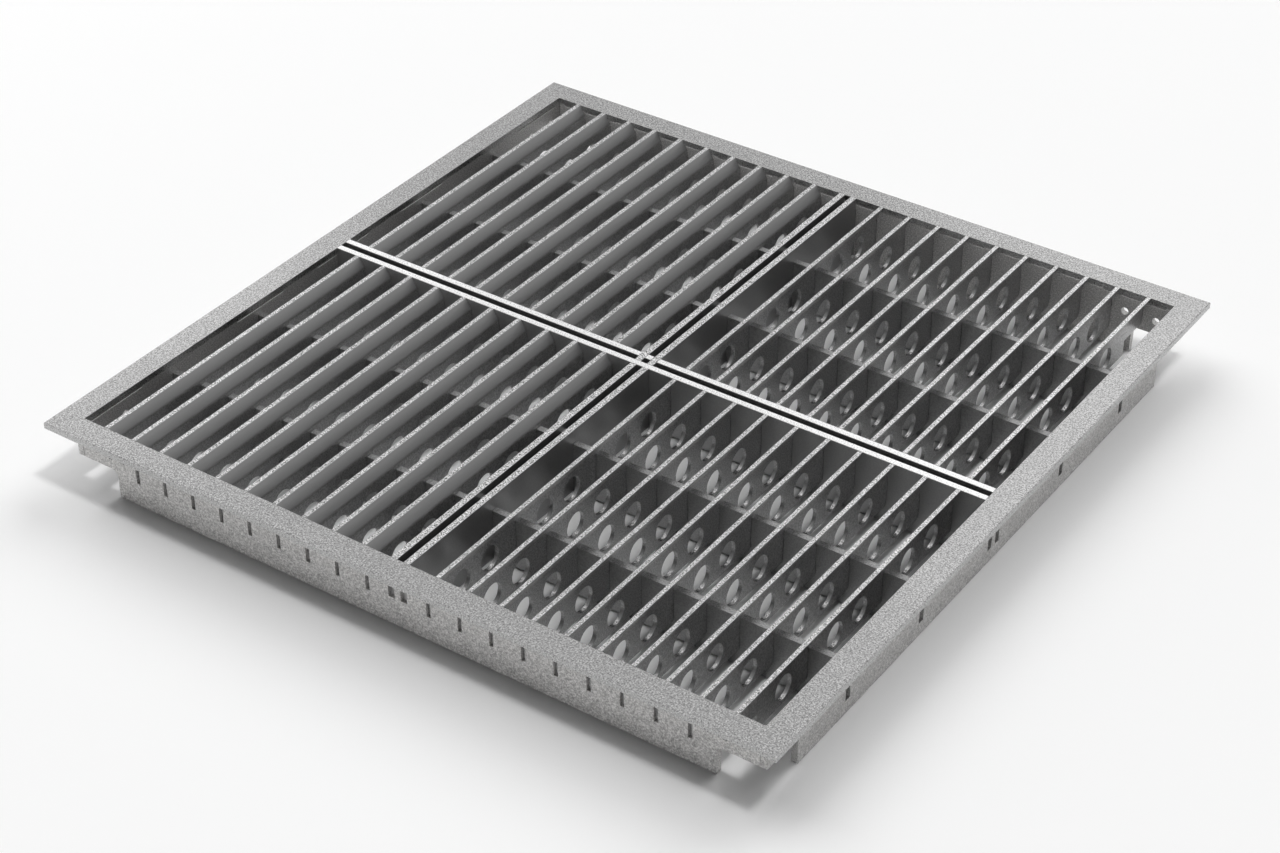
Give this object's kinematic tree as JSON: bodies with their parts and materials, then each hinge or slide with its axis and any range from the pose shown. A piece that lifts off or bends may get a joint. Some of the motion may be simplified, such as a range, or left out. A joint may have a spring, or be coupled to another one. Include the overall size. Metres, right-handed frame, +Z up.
{
  "type": "floor grate",
  "caption": "Square lift-out floor grate: flat rim on a slotted skirt, paired main bars crossing in the middle, cross bars, and pierced leaning fins that turn the air outwards.",
  "frame": {"origin": "middle of the underside, level with the bottom edge of the skirt plates", "axes": "+Z up through the grate, Y along the fins, X across them; the fins lean away from X = 0"},
  "size_m": [0.6, 0.6, 0.052],
  "materials": {
    "frame_steel": "satin",
    "bar_steel": "satin",
    "fin_steel": "satin"
  },
  "bodies": {
    "root": {"cross_bar_back_inner": "bar_steel", "cross_bar_back_outer": "bar_steel", "cross_bar_front_inner": "bar_steel", "cross_bar_front_outer": "bar_steel", "fin_back_left_01": "fin_steel", "fin_back_left_02": "fin_steel", "fin_back_left_03": "fin_steel", "fin_back_left_04": "fin_steel", "fin_back_left_05": "fin_steel", "fin_back_left_06": "fin_steel", "fin_back_left_07": "fin_steel", "fin_back_left_08": "fin_steel", "fin_back_left_09": "fin_steel", "fin_back_left_10": "fin_steel", "fin_back_right_01": "fin_steel", "fin_back_right_02": "fin_steel", "fin_back_right_03": "fin_steel", "fin_back_right_04": "fin_steel", "fin_back_right_05": "fin_steel", "fin_back_right_06": "fin_steel", "fin_back_right_07": "fin_steel", "fin_back_right_08": "fin_steel", "fin_back_right_09": "fin_steel", "fin_back_right_10": "fin_steel", "fin_front_left_01": "fin_steel", "fin_front_left_02": "fin_steel", "fin_front_left_03": "fin_steel", "fin_front_left_04": "fin_steel", "fin_front_left_05": "fin_steel", "fin_front_left_06": "fin_steel", "fin_front_left_07": "fin_steel", "fin_front_left_08": "fin_steel", "fin_front_left_09": "fin_steel", "fin_front_left_10": "fin_steel", "fin_front_right_01": "fin_steel", "fin_front_right_02": "fin_steel", "fin_front_right_03": "fin_steel", "fin_front_right_04": "fin_steel", "fin_front_right_05": "fin_steel", "fin_front_right_06": "fin_steel", "fin_front_right_07": "fin_steel", "fin_front_right_08": "fin_steel", "fin_front_right_09": "fin_steel", "fin_front_right_10": "fin_steel", "main_bar_back": "bar_steel", "main_bar_front": "bar_steel", "main_bar_left": "bar_steel", "main_bar_right": "bar_steel", "rim_plate": "frame_steel", "skirt_back": "frame_steel", "skirt_front": "frame_steel", "skirt_left": "frame_steel", "skirt_right": "frame_steel"}
  },
  "joints": []
}
